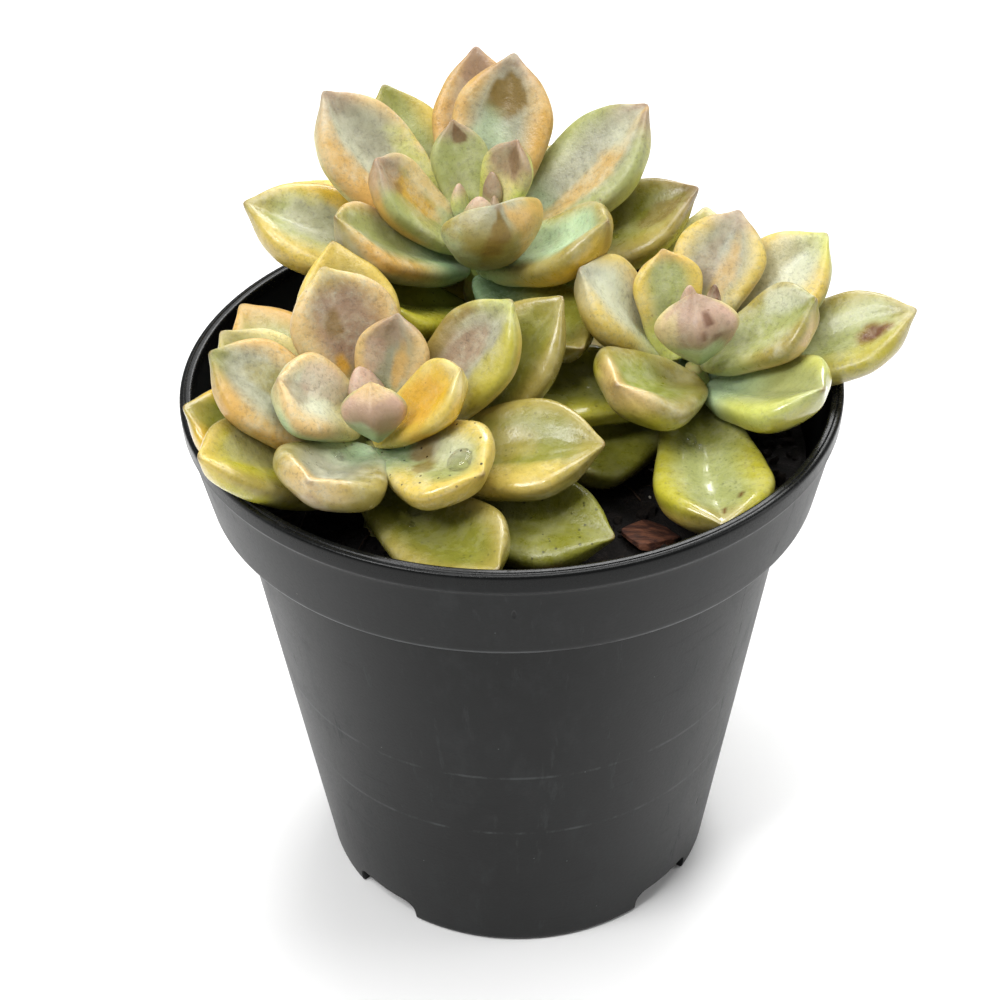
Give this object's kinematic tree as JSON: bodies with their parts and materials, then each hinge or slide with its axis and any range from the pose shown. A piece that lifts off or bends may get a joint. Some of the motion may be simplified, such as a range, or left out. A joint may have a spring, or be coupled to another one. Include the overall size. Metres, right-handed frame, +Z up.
{
  "type": "potted succulent",
  "caption": "Potted succulent: three rosettes of thick pointed leaves on short stems, in soil in a round plastic nursery pot.",
  "frame": {"origin": "centre of the pot's flat foot, on the surface it stands on", "axes": "+Z up the pot's axis; -Y is the front of the plant; +X is its right"},
  "size_m": [0.1125, 0.102, 0.1309],
  "materials": {
    "pot": "charcoal black moulded polypropylene, semi-matt, scuffed",
    "soil": "dark peaty potting mix",
    "stem": "fleshy green-brown stem",
    "young_leaf": "firm leaf, dusty pink with pale green edges, waxy bloom",
    "inner_leaf": "firm leaf, grey-green with cream and peach margins, waxy bloom",
    "middle_leaf": "firm leaf, grey-green with golden margins, waxy bloom partly rubbed off",
    "outer_leaf": "firm leaf, olive to lime yellow, glossier where the bloom is washed off"
  },
  "bodies": {
    "root": {"pot": "pot", "soil": "soil", "stem_back": "stem", "bud_back": "young_leaf", "stem_left": "stem", "bud_left": "young_leaf", "stem_right": "stem", "bud_right": "young_leaf", "leaf_back_core_1": "young_leaf", "leaf_back_core_2": "young_leaf", "leaf_back_inner_1": "inner_leaf", "leaf_back_inner_2": "inner_leaf", "leaf_back_middle_1": "middle_leaf", "leaf_back_middle_2": "middle_leaf", "leaf_back_middle_3": "middle_leaf", "leaf_back_middle_4": "middle_leaf", "leaf_back_middle_5": "middle_leaf", "leaf_back_outer_1": "outer_leaf", "leaf_back_outer_2": "outer_leaf", "leaf_back_outer_3": "outer_leaf", "leaf_back_outer_4": "outer_leaf", "leaf_back_outer_5": "outer_leaf", "leaf_back_outer_6": "outer_leaf", "leaf_back_outer_7": "outer_leaf", "leaf_back_outer_8": "outer_leaf", "leaf_back_outer_9": "outer_leaf", "leaf_left_core_1": "young_leaf", "leaf_left_inner_1": "inner_leaf", "leaf_left_inner_2": "inner_leaf", "leaf_left_inner_3": "inner_leaf", "leaf_left_middle_1": "middle_leaf", "leaf_left_middle_2": "middle_leaf", "leaf_left_middle_3": "middle_leaf", "leaf_left_middle_4": "middle_leaf", "leaf_left_middle_5": "middle_leaf", "leaf_left_outer_1": "outer_leaf", "leaf_left_outer_2": "outer_leaf", "leaf_left_outer_3": "outer_leaf", "leaf_left_outer_4": "outer_leaf", "leaf_left_outer_5": "outer_leaf", "leaf_left_outer_6": "outer_leaf", "leaf_left_outer_7": "outer_leaf", "leaf_left_outer_8": "outer_leaf", "leaf_left_outer_9": "outer_leaf", "leaf_right_core_1": "young_leaf", "leaf_right_inner_1": "inner_leaf", "leaf_right_inner_2": "inner_leaf", "leaf_right_inner_3": "inner_leaf", "leaf_right_inner_4": "inner_leaf", "leaf_right_middle_1": "middle_leaf", "leaf_right_middle_2": "middle_leaf", "leaf_right_middle_3": "middle_leaf", "leaf_right_middle_4": "middle_leaf", "leaf_right_outer_1": "outer_leaf", "leaf_right_outer_2": "outer_leaf", "leaf_right_outer_3": "outer_leaf", "leaf_right_outer_4": "outer_leaf", "leaf_right_outer_5": "outer_leaf", "leaf_right_outer_6": "outer_leaf", "leaf_right_outer_7": "outer_leaf"}
  },
  "joints": []
}
